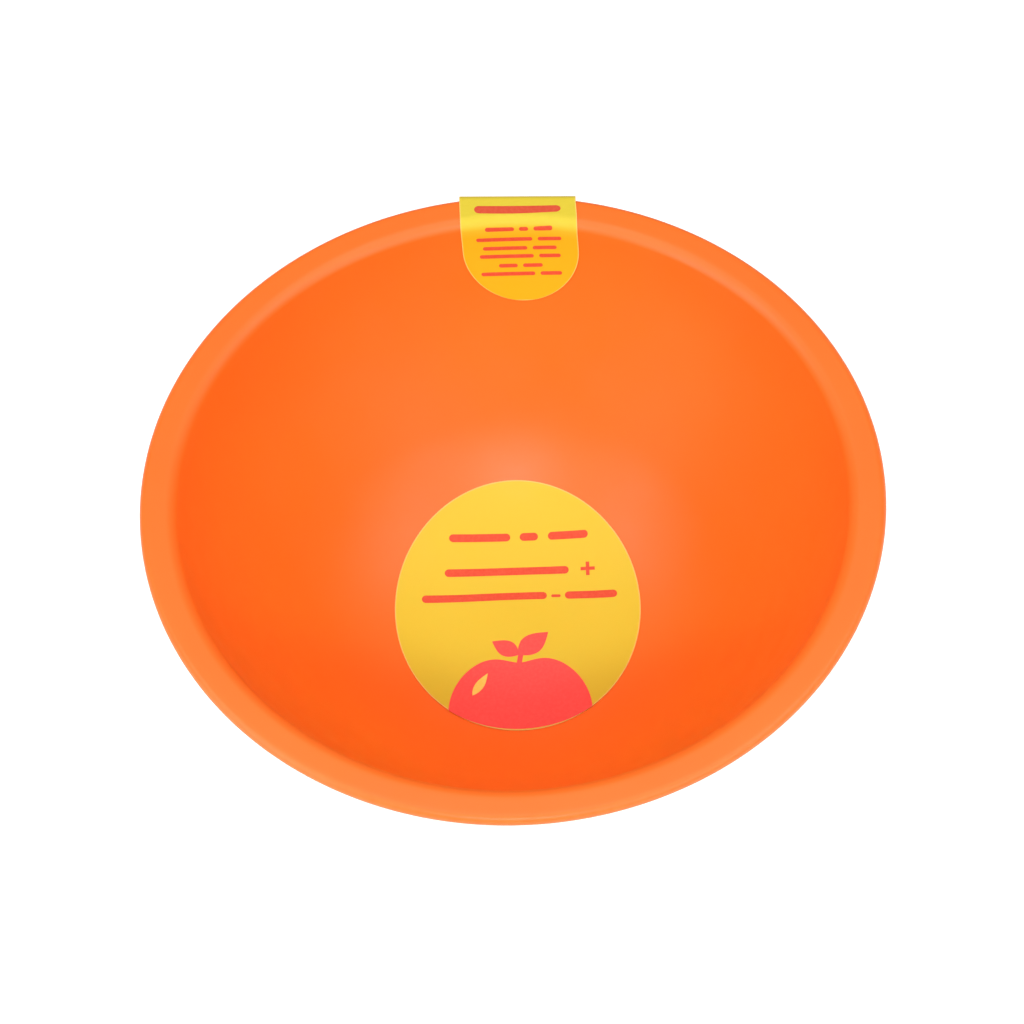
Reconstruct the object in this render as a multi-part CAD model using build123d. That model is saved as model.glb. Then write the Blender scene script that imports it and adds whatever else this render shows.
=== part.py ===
"""A suction bowl for a baby: a moulded bowl that plugs onto a suction base, with two paper labels.

Millimetres. +Z is up, the table is the plane Z = 0, and the origin lies on the bowl's axis.
+Y points at the rim label and the release tab, and -Y at the baby.
"""

import os
from math import acos, asin, atan2, cos, degrees, hypot, radians, sin, sqrt

from build123d import *

# Bowl.
RIM_DIAMETER = 146.0
INSIDE_DEPTH = 60.0
SHELL_THICKNESS = 2.4
RIM_TOP_WIDTH = 4.8  # from the outer edge of the rim to the start of its inner fillet
RIM_INNER_FILLET = 2.7
LIP_THICKNESS = 2.8  # the outer edge is a full round of this thickness
LIP_ROOT_FILLET = 1.2
FLOOR_FLAT_RADIUS = 10.0
WALL_SLOPE_TOP = 73.0  # degrees from the horizontal, just under the rim
WALL_SLOPE_BOTTOM = 54.0  # degrees, where the wall meets the round of the floor

# Foot ring under the bowl, which the hub of the suction base plugs into.
FOOT_INNER_DIAMETER = 40.0
FOOT_WALL = 2.6
FOOT_DEPTH = 4.4  # from the underside of the bowl's floor to the foot's lower edge
FOOT_EDGE_FILLET = 0.6

# Hub: a stiff disc with a plug above it, held in a pocket of the suction cup.
PLUG_CLEARANCE = 0.05
PLUG_HEIGHT = 3.8
PLUG_CHAMFER = 0.6
FLANGE_REACH = 2.4  # how far the flange reaches out beyond the bowl's foot
FLANGE_THICKNESS = 2.0
POCKET_CLEARANCE = 0.05

# Suction cup.
CUP_DIAMETER = 64.0
SEAT_HEIGHT = 7.0  # from the table to the shoulder that the bowl's foot stands on
SEAT_CLEARANCE = 0.1
SEAL_WIDTH = 3.0  # the flat ring that meets the table
SEAL_THICKNESS = 1.3
SEAL_CHAMFER = 0.4
DOME_HEIGHT = 3.4  # of the hollow under the cup
DOME_SHOULDER_RADIUS = 15.0  # where the hollow's arc passes through its shoulder height
DOME_SHOULDER_HEIGHT = 2.6
COLLAR_WALL = 1.4
COLLAR_GAP = 0.8  # between the bowl's foot and the collar's opening
COLLAR_TOP = 0.9
COLLAR_TOP_FILLET = 0.7
COLLAR_ROOT_FILLET = 1.0

# Release tab on the cup's edge.
TAB_WIDTH = 16.0
TAB_LENGTH = 13.0
TAB_THICKNESS = 1.8
TAB_CORNER = 6.7
TAB_LIFT_OFF_TABLE = 0.6
TAB_GAP = 0.3  # between the cup's edge and the tab's root
TAB_RIB_COUNT = 3
TAB_RIB_PITCH = 3.0
TAB_RIB_RADIUS = 0.5
TAB_RIB_LENGTH = 8.0
TAB_RIB_INSET = 3.0  # from the tab's tip to the first rib

# Labels.
LABEL_THICKNESS = 0.2
GLUE_GAP = 0.05
FLOOR_LABEL_WIDTH = 51.6
FLOOR_LABEL_PLAN_LENGTH = 57.0
FLOOR_LABEL_OFFSET = 7.8  # from the bowl's axis, towards +Y
FLOOR_LABEL_TURN = 3.2  # degrees about the bowl's axis, away from the rim label
RIM_LABEL_WIDTH = 24.0
RIM_LABEL_INSIDE_DROP = 18.3  # from the rim's top to the end of the tongue, straight down
RIM_LABEL_OUTSIDE_DROP = 24.0
RIM_LABEL_TAIL = 4.0  # the end of the outer flap that is glued to the wall
RIM_LABEL_LAP = 0.2  # how far the strip over the rim runs in over the tongue

# Heights above the table.
FOOT_BOTTOM = SEAT_HEIGHT
UNDERSIDE = FOOT_BOTTOM + FOOT_DEPTH
FLOOR_TOP = UNDERSIDE + SHELL_THICKNESS
RIM_TOP = FLOOR_TOP + INSIDE_DEPTH

RIM_RADIUS = RIM_DIAMETER / 2
MOUTH_RADIUS = RIM_RADIUS - RIM_TOP_WIDTH
FOOT_OUTER_RADIUS = FOOT_INNER_DIAMETER / 2 + FOOT_WALL
FLANGE_RADIUS = FOOT_OUTER_RADIUS + FLANGE_REACH
CUP_RADIUS = CUP_DIAMETER / 2
TALL = RIM_TOP + 10.0  # higher than anything, for cutting shapes


def wall_radii():
    """The radii of the wall's arc and of the floor's round, inside, which make the arcs meet.

    The floor's flat, its round, the wall and the rim's fillet are tangent to each other, so the two radii
    follow from the inside depth and the mouth: one equation for the heights and one for the widths.
    """
    top = radians(WALL_SLOPE_TOP)
    bottom = radians(WALL_SLOPE_BOTTOM)
    rise = INSIDE_DEPTH - RIM_INNER_FILLET * (1 - cos(top))
    run = MOUTH_RADIUS - RIM_INNER_FILLET * sin(top) - FLOOR_FLAT_RADIUS
    wall_rise = cos(bottom) - cos(top)
    wall_run = sin(top) - sin(bottom)
    floor_rise = 1 - cos(bottom)
    floor_run = sin(bottom)
    scale = wall_rise * floor_run - floor_rise * wall_run
    wall_radius = (rise * floor_run - floor_rise * run) / scale
    floor_radius = (wall_rise * run - wall_run * rise) / scale
    return wall_radius, floor_radius


def bowl_line(offset, top_slope=WALL_SLOPE_TOP):
    """The section of the bowl from its axis outwards, moved outwards from the inside surface by offset.

    It stops where the wall reaches the slope given.
    """
    wall_radius, floor_radius = wall_radii()
    height = FLOOR_TOP - offset
    flat = Line((0, height), (FLOOR_FLAT_RADIUS, height))
    round_ = JernArc(flat @ 1, flat % 1, floor_radius + offset, WALL_SLOPE_BOTTOM)
    wall = JernArc(round_ @ 1, round_ % 1, wall_radius + offset, top_slope - WALL_SLOPE_BOTTOM)
    return [flat, round_, wall]


def inside_line(offset):
    """The bowl's inside section, moved outwards by offset, with the rim's inner fillet to its flat top."""
    edges = bowl_line(offset)
    end = edges[-1]
    return [*edges, JernArc(end @ 1, end % 1, RIM_INNER_FILLET - offset, -WALL_SLOPE_TOP)]


def turned(edges, *corners):
    """The solid of revolution inside a section that starts on the axis, closed through the corners."""
    end = edges[-1] @ 1
    points = [(end.X, end.Y), *corners, (0, (edges[0] @ 0).Y)]
    closing = [Line(a, b) for a, b in zip(points, points[1:])]
    face = make_face(Wire(edges + closing))
    return revolve(Plane.XZ * face, Axis.Z)


def ring(inner_radius, outer_radius, low, high):
    """An upright ring between two radii and two heights."""
    face = Pos((inner_radius + outer_radius) / 2, (low + high) / 2) * Rectangle(
        outer_radius - inner_radius, high - low
    )
    return revolve(Plane.XZ * face, Axis.Z)


def disc(radius, low, high):
    """An upright disc from one height to another."""
    return Pos(0, 0, low) * Cylinder(radius, high - low, align=(Align.CENTER, Align.CENTER, Align.MIN))


def edges_at(solid, radius, height):
    """The circular edges of a turned solid at one radius and height."""
    found = solid.edges().filter_by(GeomType.CIRCLE)
    return found.filter_by(lambda e: abs(e.radius - radius) < 0.01 and abs(e.center().Z - height) < 0.01)


def corners_at(section, radius, height):
    """The corners of a section at one radius and height."""
    return section.vertices().filter_by(lambda v: abs(v.X - radius) < 0.01 and abs(v.Y - height) < 0.01)


def wall_outside_at(height):
    """The radius of the wall's outer surface at a height on the wall's arc."""
    wall_radius, floor_radius = wall_radii()
    bottom = radians(WALL_SLOPE_BOTTOM)
    centre_out = FLOOR_FLAT_RADIUS - (wall_radius - floor_radius) * sin(bottom)
    centre_up = FLOOR_TOP + floor_radius + (wall_radius - floor_radius) * cos(bottom)
    outside = wall_radius + SHELL_THICKNESS
    return centre_out + sqrt(outside**2 - (centre_up - height) ** 2)


def wall_slope_at(height):
    """The slope in degrees of the wall's outer surface at a height on the wall's arc."""
    wall_radius, floor_radius = wall_radii()
    bottom = radians(WALL_SLOPE_BOTTOM)
    centre_up = FLOOR_TOP + floor_radius + (wall_radius - floor_radius) * cos(bottom)
    return 90 - degrees(asin((centre_up - height) / (wall_radius + SHELL_THICKNESS)))


def bowl_section():
    """The section of the bowl without its foot: the wall, and the rim with a full round at its edge."""
    edge = LIP_THICKNESS / 2
    under_height = RIM_TOP - LIP_THICKNESS
    outside = bowl_line(SHELL_THICKNESS, wall_slope_at(under_height))
    inside = inside_line(0.0)
    under = Line(outside[-1] @ 1, (RIM_RADIUS - edge, under_height))
    bullnose = JernArc(under @ 1, under % 1, edge, 180)
    top = Line(bullnose @ 1, inside[-1] @ 1)
    axis = Line(inside[0] @ 0, outside[0] @ 0)
    return make_face(Wire([*outside, under, bullnose, top, *reversed(inside), axis]))


def bowl_shell():
    """The bowl: one moulding with its rim and its foot ring."""
    under_height = RIM_TOP - LIP_THICKNESS
    shell = revolve(Plane.XZ * bowl_section(), Axis.Z)
    shell = fillet(edges_at(shell, wall_outside_at(under_height), under_height), LIP_ROOT_FILLET)
    cavity = turned(inside_line(0.0), (MOUTH_RADIUS, TALL), (0, TALL))
    foot = ring(FOOT_INNER_DIAMETER / 2, FOOT_OUTER_RADIUS, FOOT_BOTTOM, under_height)
    foot = fillet(edges_at(foot, FOOT_OUTER_RADIUS, FOOT_BOTTOM), FOOT_EDGE_FILLET)
    return shell + (foot - cavity)


def hub():
    """The hub: a flange that the cup grips, and a plug that fits the bowl's foot."""
    radius = FOOT_INNER_DIAMETER / 2 - PLUG_CLEARANCE
    shoulder = SEAT_HEIGHT - SEAT_CLEARANCE
    plug_top = SEAT_HEIGHT + PLUG_HEIGHT
    flange = disc(FLANGE_RADIUS, shoulder - FLANGE_THICKNESS, shoulder)
    body = flange + disc(radius, shoulder, plug_top)
    return chamfer(edges_at(body, radius, plug_top), PLUG_CHAMFER)


def suction_cup():
    """The cup: a soft dome with a sealing ring, and a collar that grips the hub's flange."""
    shoulder = SEAT_HEIGHT - SEAT_CLEARANCE
    pocket_top = shoulder + POCKET_CLEARANCE
    pocket_bottom = shoulder - FLANGE_THICKNESS - POCKET_CLEARANCE
    pocket_radius = FLANGE_RADIUS + POCKET_CLEARANCE
    collar_radius = pocket_radius + COLLAR_WALL
    collar_top = pocket_top + COLLAR_TOP
    seal_inner = CUP_RADIUS - SEAL_WIDTH
    skirt_start = (CUP_RADIUS, SEAL_THICKNESS)
    skirt_end = (collar_radius, pocket_bottom)
    crown = (0, DOME_HEIGHT)
    shoulder_of_dome = (DOME_SHOULDER_RADIUS, DOME_SHOULDER_HEIGHT)
    seal_edge = (CUP_RADIUS - SEAL_CHAMFER, 0)
    seal_side = (CUP_RADIUS, SEAL_CHAMFER)
    edges = [
        Line((0, pocket_top), crown),
        ThreePointArc(crown, shoulder_of_dome, (seal_inner, 0)),
        Line((seal_inner, 0), seal_edge),
        Line(seal_edge, seal_side),
        Line(seal_side, skirt_start),
        Line(skirt_start, skirt_end),
        Line(skirt_end, (collar_radius, collar_top)),
        Line((collar_radius, collar_top), (0, collar_top)),
        Line((0, collar_top), (0, pocket_top)),
    ]
    section = make_face(Wire(edges))
    section = fillet(corners_at(section, collar_radius, collar_top), COLLAR_TOP_FILLET)
    section = fillet(corners_at(section, *skirt_end), COLLAR_ROOT_FILLET)
    body = revolve(Plane.XZ * section, Axis.Z)
    opening_radius = FOOT_OUTER_RADIUS + COLLAR_GAP
    return body - disc(pocket_radius, pocket_bottom, pocket_top) - disc(opening_radius, pocket_top, TALL)


def release_tab():
    """The tab: a rounded tongue beside the cup's edge, with ribs across it for a fingertip."""
    start = CUP_RADIUS + TAB_GAP
    end = CUP_RADIUS + TAB_LENGTH
    tongue = Pos(0, (start + end) / 2) * Rectangle(TAB_WIDTH, end - start)
    tongue = fillet(tongue.vertices().group_by(Axis.Y)[-1], TAB_CORNER)
    root = Circle(start)
    tongue = Pos(0, 0, TAB_LIFT_OFF_TABLE) * extrude(tongue - root, TAB_THICKNESS)
    rib_height = TAB_LIFT_OFF_TABLE + TAB_THICKNESS
    for index in range(TAB_RIB_COUNT):
        place = end - TAB_RIB_INSET - index * TAB_RIB_PITCH
        rib = Rot(0, 90, 0) * Cylinder(TAB_RIB_RADIUS, TAB_RIB_LENGTH)
        tongue = tongue + Pos(0, place, rib_height) * rib
    return tongue


def skin(line):
    """The layer of a label's thickness that lies on the bowl's inside, along the section given."""
    near = line(-GLUE_GAP)
    far = line(-GLUE_GAP - LABEL_THICKNESS)
    end = Line(near[-1] @ 1, far[-1] @ 1)
    axis = Line(far[0] @ 0, near[0] @ 0)
    return revolve(Plane.XZ * make_face(Wire([*near, end, *reversed(far), axis])), Axis.Z)


def floor_label():
    """The oval label on the floor, a thin layer that follows the bowl's inside."""
    outline = Ellipse(FLOOR_LABEL_WIDTH / 2, FLOOR_LABEL_PLAN_LENGTH / 2)
    cutter = Pos(0, FLOOR_LABEL_OFFSET, 0) * extrude(outline, TALL)
    return Rot(0, 0, FLOOR_LABEL_TURN) * (skin(bowl_line) & cutter)


def tongue_outline(length):
    """A strip with one round end: its straight end is at the origin and it points along -Y."""
    half = RIM_LABEL_WIDTH / 2
    strip = Pos(0, -(length - half) / 2) * Rectangle(RIM_LABEL_WIDTH, length - half)
    return strip + Pos(0, -(length - half)) * Circle(half)


def rim_label_inside():
    """The tongue of the rim label that lies on the inside of the wall."""
    slope = radians(WALL_SLOPE_TOP)
    above = RIM_INNER_FILLET
    length = (RIM_LABEL_INSIDE_DROP + above) / sin(slope)
    place = Plane(
        origin=(0, MOUTH_RADIUS, RIM_TOP + above),
        x_dir=(1, 0, 0),
        z_dir=(0, -sin(slope), cos(slope)),
    )
    cutter = extrude(place * tongue_outline(length), RIM_LABEL_WIDTH / 2, both=True)
    return skin(inside_line) & cutter


def rim_label_outside():
    """The part of the rim label over the flat rim, the fold and the flap that reaches the wall outside.

    The fold hugs the round lip as far as the place where a straight flap leaves it as a tangent.
    """
    edge = LIP_THICKNESS / 2
    hug = edge + GLUE_GAP
    low = RIM_TOP + GLUE_GAP
    over = Line((MOUTH_RADIUS - RIM_LABEL_LAP, low), (RIM_RADIUS - edge, low))
    touch_height = RIM_TOP - RIM_LABEL_OUTSIDE_DROP
    touch = wall_outside_at(touch_height) + GLUE_GAP + LABEL_THICKNESS
    across, down = touch - (RIM_RADIUS - edge), touch_height - (RIM_TOP - edge)
    leave = atan2(down, across) + acos(hug / hypot(across, down))
    fold = JernArc(over @ 1, over % 1, hug, degrees(leave) - 90)
    slope = radians(wall_slope_at(touch_height))
    tail = (touch - RIM_LABEL_TAIL * cos(slope), touch_height - RIM_LABEL_TAIL * sin(slope))
    flap = Line(fold @ 1, (touch, touch_height))
    line = Wire([over, fold, flap, Line(flap @ 1, tail)])
    sheet = make_face(offset(line, LABEL_THICKNESS, side=Side.LEFT))
    half = RIM_LABEL_WIDTH / 2
    return extrude(Plane.YZ * sheet, half, both=True)


def rim_label():
    """The label that wraps over the rim: a tongue inside, the fold and a flap outside."""
    return rim_label_inside() + rim_label_outside()


def build_all():
    """Every piece of the bowl, by the name of its node."""
    return {
        "bowl_shell": bowl_shell(),
        "hub": hub(),
        "suction_cup": suction_cup(),
        "release_tab": release_tab(),
        "floor_label": floor_label(),
        "rim_label": rim_label(),
    }


os.makedirs("parts", exist_ok=True)
for name, shape in build_all().items():
    export_step(shape, f"parts/{name}.step")
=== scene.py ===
"""The looks of a baby's suction bowl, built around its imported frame.

The bowl is one orange moulding with a flat rim. It plugs onto a hub that a soft suction cup grips, and it
carries an oval label on its floor and a folded label over its rim. Every length in the classes below is in
millimetres, and each mesh is turned into metres when it is made. +Z is up, the bowl's axis is the Z axis,
and +Y points at the rim label and the release tab.
"""

import logging
from collections.abc import Callable, Sequence
from dataclasses import dataclass, field
from enum import Enum
from math import acos, atan2, ceil, cos, degrees, hypot, pi, radians, sin, sqrt, tau

import bpy
import numpy as np
from mathutils import Matrix, Vector

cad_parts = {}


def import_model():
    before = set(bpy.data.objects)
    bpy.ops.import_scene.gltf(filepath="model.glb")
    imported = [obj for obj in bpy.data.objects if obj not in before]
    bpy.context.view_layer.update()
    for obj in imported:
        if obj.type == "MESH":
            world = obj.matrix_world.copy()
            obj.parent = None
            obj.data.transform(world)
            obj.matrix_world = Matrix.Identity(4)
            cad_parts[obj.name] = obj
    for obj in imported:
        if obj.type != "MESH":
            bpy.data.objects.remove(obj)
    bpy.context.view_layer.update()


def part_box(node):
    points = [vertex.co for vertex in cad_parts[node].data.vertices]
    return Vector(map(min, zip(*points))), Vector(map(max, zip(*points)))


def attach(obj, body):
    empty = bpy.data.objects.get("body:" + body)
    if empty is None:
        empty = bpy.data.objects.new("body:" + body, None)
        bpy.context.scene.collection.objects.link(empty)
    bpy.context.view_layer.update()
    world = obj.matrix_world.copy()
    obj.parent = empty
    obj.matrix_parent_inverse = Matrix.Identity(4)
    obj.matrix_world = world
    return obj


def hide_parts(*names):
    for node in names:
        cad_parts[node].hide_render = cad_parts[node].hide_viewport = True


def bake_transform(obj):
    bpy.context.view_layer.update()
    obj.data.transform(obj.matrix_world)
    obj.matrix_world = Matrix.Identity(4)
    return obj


MM = 0.001
Array = np.ndarray
Colour = tuple[float, float, float]
Place = Callable[[Array, Array, float], Array]
Socket = bpy.types.NodeSocket

log = logging.getLogger("suction_bowl")


class Node(Enum):
    """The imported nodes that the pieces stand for."""

    BOWL = "bowl_shell"
    HUB = "hub"
    CUP = "suction_cup"
    TAB = "release_tab"
    FLOOR_LABEL = "floor_label"
    RIM_LABEL = "rim_label"


class Body(Enum):
    """The moving bodies that the pieces ride on."""

    BASE = "suction_base"
    HUB = "hub_body"
    BOWL = "bowl"
    TAB = "tab"


class Slot(Enum):
    """The record's material slots."""

    BOWL = "bowl_plastic"
    HUB = "hub_plastic"
    BASE = "base_rubber"
    LABEL = "label_film"


# Sections and surfaces ------------------------------------------------------------------------------------


class Section:
    """A section drawn as a chain of lines and arcs, in the plane of radius and height."""

    def __init__(self, radius: float, height: float, spacing: float) -> None:
        """Starts the chain.

        Args:
            radius: where the chain starts, out from the axis.
            height: where the chain starts, above the table.
            spacing: the longest step between two points.
        """
        self.spacing = spacing
        self.parts: list[Array] = [np.array([[radius, height]])]

    def _steps(self, length: float, least: int) -> int:
        """The number of steps that a stretch of this length is cut into."""
        return max(least, ceil(length / self.spacing))

    def line(self, radius: float, height: float) -> "Section":
        """Goes straight on to a point: evenly spaced shares of the way there."""
        start = self.parts[-1][-1]
        way = np.array([radius, height]) - start
        count = self._steps(float(np.hypot(*way)), 1)
        self.parts.append(start + np.arange(1, count + 1)[:, None] / count * way)
        return self

    def arc(self, centre: tuple[float, float], radius: float, begin: float, end: float) -> "Section":
        """Goes on along a circle: the centre plus the radius times (cosine, sine) of an even run of angles.

        Args:
            centre: the circle's centre, as radius and height.
            radius: the circle's own radius.
            begin: the angle in degrees where the arc begins, counted from straight out.
            end: the angle where it ends.

        Returns:
            The section itself, to go on with.
        """
        turn = radians(end - begin)
        count = self._steps(abs(turn) * radius, max(3, ceil(abs(end - begin) / 9)))
        angles = radians(begin) + np.arange(0, count + 1) / count * turn
        points = np.stack([centre[0] + radius * np.cos(angles), centre[1] + radius * np.sin(angles)], -1)
        return self.through(points)

    def through(self, points: Array) -> "Section":
        """Goes on through points that a formula gives."""
        self.parts.append(points)
        return self

    def points(self) -> Array:
        """The chain's points in order, each place once."""
        chain = np.concatenate(self.parts)
        moved = np.r_[True, np.hypot(*np.diff(chain, axis=0).T) > 1e-5]
        return chain[moved]


@dataclass
class Surface:
    """A closed surface: rings of points, all with the same count, between a first and a last end point.

    Attributes:
        rings: the points, as rings by places round each ring by three.
        first: the end point before the first ring.
        last: the end point after the last ring.
        marks: values carried by the points, by name, each as rings by places round.
    """

    rings: Array
    first: Array
    last: Array
    marks: dict[str, Array] = field(default_factory=dict)

    def points(self) -> Array:
        """All points: the first end, the rings in order and the last end."""
        return np.concatenate([self.first[None], self.rings.reshape(-1, 3), self.last[None]])

    def values(self, name: str) -> Array:
        """One mark's values in the order of the points; the ends take their nearest ring's mean."""
        marks = self.marks.get(name, np.zeros(self.rings.shape[:2]))
        return np.concatenate([[marks[0].mean()], marks.ravel(), [marks[-1].mean()]])

    def faces(self) -> tuple[Array, Array]:
        """The quads between neighbouring rings, and the triangles at the two ends, facing outwards.

        The signed volume is the sum, over all triangles, of corner a dot (corner b cross corner c). Where it
        is negative the surface is inside out, so each face is turned round.
        """
        rows, around = self.rings.shape[:2]
        near = np.arange(around)
        far = (near + 1) % around
        lift = 1 + np.arange(rows - 1)[:, None] * around
        above = lift + around
        quads = np.stack([lift + near, lift + far, above + far, above + near], -1).reshape(-1, 4)
        top = 1 + (rows - 1) * around
        end = 1 + rows * around
        begin_fan = np.stack([np.zeros(around, int), 1 + far, 1 + near], -1)
        end_fan = np.stack([np.full(around, end), top + near, top + far], -1)
        fans = np.concatenate([begin_fan, end_fan])
        points = self.points()
        halves = np.concatenate([quads[:, [0, 1, 2]], quads[:, [0, 2, 3]], fans])
        a, b, c = (points[halves[:, k]] for k in range(3))
        if np.einsum("ij,ij->", a, np.cross(b, c)) < 0:
            return quads[:, ::-1], fans[:, ::-1]
        return quads, fans


def turned(section: Array, around: int) -> Surface:
    """A solid of revolution.

    Each point of the section goes round the axis: its radius times (cosine, sine) of an even run of angles,
    at its own height. The section starts and ends on the axis.
    """
    angles = np.arange(around) / around * tau
    radius, height = section[1:-1, 0, None], section[1:-1, 1, None]
    rings = np.stack([radius * np.cos(angles), radius * np.sin(angles), height + 0 * angles], -1)
    ends = [np.array([0.0, 0.0, section[k, 1]]) for k in (0, -1)]
    return Surface(rings, *ends)


def patch(outline: Array, levels: Sequence[float], place: Place, low: float, high: float) -> Surface:
    """A thin closed sheet inside an outline, laid on a curved surface.

    The outline is shrunk about its middle by each level in turn, which covers it with rings. The rings go
    out over the top side, and back over the under side.

    Args:
        outline: the outline's points in the sheet's own plane, one turn of it.
        levels: shares from the middle outwards, the last of them 1.
        place: puts points of the plane, at a height over the surface, in their place.
        low: the height of the under side.
        high: the height of the top side.

    Returns:
        The sheet, with the distance from its edge as the mark "inset".
    """
    middle = outline.mean(0)
    share = np.asarray(levels)[:, None]
    flat = [middle[k] + share * (outline[:, k] - middle[k]) for k in (0, 1)]
    reach = np.hypot(outline[:, 0] - middle[0], outline[:, 1] - middle[1])
    over, under = place(flat[0], flat[1], high), place(flat[0], flat[1], low)
    ends = [place(middle[:1], middle[1:], lift)[0] for lift in (high, low)]
    inset = (1 - share) * reach
    marks = {"inset": np.concatenate([inset, inset[::-1]])}
    return Surface(np.concatenate([over, under[::-1]]), *ends, marks)


def sheet(middle: Array, normal: Array, thickness: float, inset: Array) -> Surface:
    """A thin closed strip: rows of a middle surface, each made a loop over its top and back underneath.

    Args:
        middle: the middle surface, as rows by places across by three.
        normal: its normals, in the same layout.
        thickness: how far apart its two sides are.
        inset: the distance of each point from the strip's edge.

    Returns:
        The strip, with the mark "inset".
    """
    step = normal * thickness / 2
    rings = np.concatenate([middle + step, (middle - step)[:, ::-1]], 1)
    marks = np.concatenate([inset, inset[:, ::-1]], 1)
    return Surface(rings, rings[0].mean(0), rings[-1].mean(0), {"inset": marks})


def piece(name: str, surfaces: Sequence[Surface], material: bpy.types.Material) -> bpy.types.Object:
    """Makes one object, in metres, from closed surfaces.

    Args:
        name: the piece's name.
        surfaces: its closed surfaces, in millimetres.
        material: its finish.

    Returns:
        The object, at the origin, with its place in its mesh.
    """
    points, corners, starts, count = [], [], [], 0
    for surface in surfaces:
        for group in surface.faces():
            corners.append((group + sum(map(len, points))).ravel())
            starts.append(count + np.arange(len(group)) * group.shape[1])
            count += group.size
        points.append(surface.points())
    mesh = bpy.data.meshes.new(name)
    mesh.vertices.add(sum(map(len, points)))
    mesh.vertices.foreach_set("co", (np.concatenate(points) * MM).astype(np.float32).ravel())
    mesh.loops.add(count)
    mesh.loops.foreach_set("vertex_index", np.concatenate(corners).astype(np.int32))
    mesh.polygons.add(sum(map(len, starts)))
    mesh.polygons.foreach_set("loop_start", np.concatenate(starts).astype(np.int32))
    for mark in sorted({mark for surface in surfaces for mark in surface.marks}):
        attribute = mesh.attributes.new(mark, "FLOAT", "POINT")
        values = np.concatenate([surface.values(mark) for surface in surfaces])
        attribute.data.foreach_set("value", values.astype(np.float32))
    mesh.update(calc_edges=True)
    mesh.validate()
    mesh.shade_smooth()
    mesh.set_sharp_from_angle(angle=radians(40))
    mesh.materials.append(material)
    made = bpy.data.objects.new(name, mesh)
    bpy.context.scene.collection.objects.link(made)
    return made


def report(made: bpy.types.Object) -> None:
    """Says what was made."""
    log.info("%s: %d points, %d faces", made.name, len(made.data.vertices), len(made.data.polygons))


# Finishes -------------------------------------------------------------------------------------------------


class Shading:
    """The nodes of one material around its Principled shader."""

    def __init__(self, name: str) -> None:
        """Makes the material, with its shader and its object coordinates."""
        self.material = bpy.data.materials.new(name)
        self.material.use_nodes = True
        self.nodes = self.material.node_tree.nodes
        self.shader = next(node for node in self.nodes if node.type == "BSDF_PRINCIPLED")
        self.coordinates = self.nodes.new("ShaderNodeTexCoord").outputs["Object"]

    def join(self, source: Socket, target: Socket) -> None:
        """Links an output to an input."""
        self.material.node_tree.links.new(source, target)

    def fix(self, **values: float | Colour) -> None:
        """Sets inputs of the shader that are the same all over; an underscore stands for a space."""
        for name, value in values.items():
            socket = self.shader.inputs[name.replace("_", " ")]
            socket.default_value = (*value, 1.0) if isinstance(value, tuple) else value

    def noise(self, size: float, detail: float = 2.0, stretch: Colour = (1.0, 1.0, 1.0)) -> Socket:
        """A soft random pattern.

        Args:
            size: the size of its patches, in millimetres.
            detail: how many finer layers it has.
            stretch: how much closer the patches lie along each axis.

        Returns:
            The socket with the pattern's value, around 0.5.
        """
        mapping = self.nodes.new("ShaderNodeMapping")
        mapping.inputs["Scale"].default_value = stretch
        self.join(self.coordinates, mapping.inputs["Vector"])
        noise = self.nodes.new("ShaderNodeTexNoise")
        noise.inputs["Scale"].default_value = 1 / (size * MM)
        noise.inputs["Detail"].default_value = detail
        self.join(mapping.outputs["Vector"], noise.inputs["Vector"])
        return noise.outputs["Fac"]

    def spread(self, source: Socket, begin: float, end: float, low: float, high: float) -> Socket:
        """Maps a value from one range to another, held at the ends."""
        node = self.nodes.new("ShaderNodeMapRange")
        for name, value in zip(("From Min", "From Max", "To Min", "To Max"), (begin, end, low, high)):
            node.inputs[name].default_value = value
        self.join(source, node.inputs["Value"])
        return node.outputs["Result"]

    def height(self) -> Socket:
        """How high the point lies, in metres."""
        node = self.nodes.new("ShaderNodeSeparateXYZ")
        self.join(self.coordinates, node.inputs["Vector"])
        return node.outputs["Z"]

    def mark(self, name: str) -> Socket:
        """The value of one of the mesh's marks."""
        node = self.nodes.new("ShaderNodeAttribute")
        node.attribute_name = name
        return node.outputs["Fac"]

    def mix(self, share: Socket, low: Colour | Socket, high: Colour) -> Socket:
        """A colour between two, by a share from 0 to 1."""
        node = self.nodes.new("ShaderNodeMix")
        node.data_type = "RGBA"
        self.join(share, node.inputs["Factor"])
        first, second, mixed = node.inputs[6], node.inputs[7], node.outputs[2]
        if isinstance(low, tuple):
            first.default_value = (*low, 1.0)
        else:
            self.join(low, first)
        second.default_value = (*high, 1.0)
        return mixed

    def colour(self, source: Socket) -> None:
        """Gives the shader its colour."""
        self.join(source, self.shader.inputs["Base Color"])

    def roughness(self, source: Socket) -> None:
        """Gives the shader its roughness."""
        self.join(source, self.shader.inputs["Roughness"])

    def relief(self, *layers: tuple[Socket, float]) -> None:
        """Gives the shader its relief, one layer of bumps on another.

        Args:
            layers: each layer's pattern, and the height in millimetres that its full range stands for.
        """
        below = None
        for pattern, height in layers:
            bump = self.nodes.new("ShaderNodeBump")
            bump.inputs["Strength"].default_value = 1.0
            bump.inputs["Distance"].default_value = height * MM
            self.join(pattern, bump.inputs["Height"])
            if below is not None:
                self.join(below, bump.inputs["Normal"])
            below = bump.outputs["Normal"]
        self.join(below, self.shader.inputs["Normal"])


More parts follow.
